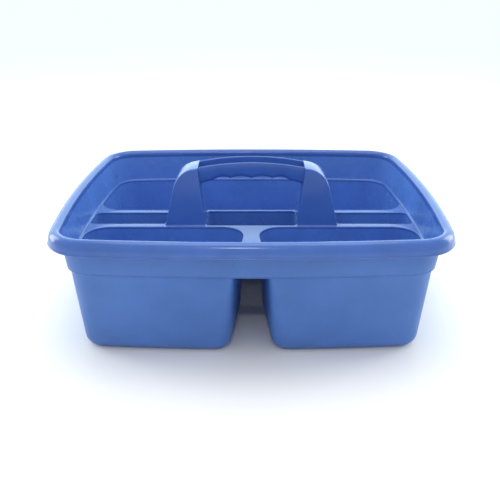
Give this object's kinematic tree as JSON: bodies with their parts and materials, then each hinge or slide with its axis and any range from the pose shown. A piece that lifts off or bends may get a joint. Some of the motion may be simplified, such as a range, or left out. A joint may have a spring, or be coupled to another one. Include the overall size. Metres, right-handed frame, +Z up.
{
  "type": "cleaning caddy",
  "caption": "Moulded carry caddy with a rolled rim, deep bins front and rear, narrow pockets under the handle and an arched finger grip.",
  "frame": {"origin": "middle of the caddy's footprint, on the ground under its bins", "axes": "+Z up, +X along the handle, -Y towards the two front bins"},
  "size_m": [0.3966, 0.3186, 0.159],
  "materials": {
    "smooth_blue": "smooth moulded",
    "grained_blue": "fine spark-grained moulding"
  },
  "bodies": {
    "root": {"rolled_rim": "smooth_blue", "deck": "smooth_blue", "handle_left_leg": "smooth_blue", "handle_right_leg": "smooth_blue", "finger_grip": "smooth_blue", "wall_band": "grained_blue", "front_left_bin": "grained_blue", "front_right_bin": "grained_blue", "rear_bin": "grained_blue", "left_pocket": "grained_blue", "middle_pocket": "grained_blue", "right_pocket": "grained_blue"}
  },
  "joints": []
}
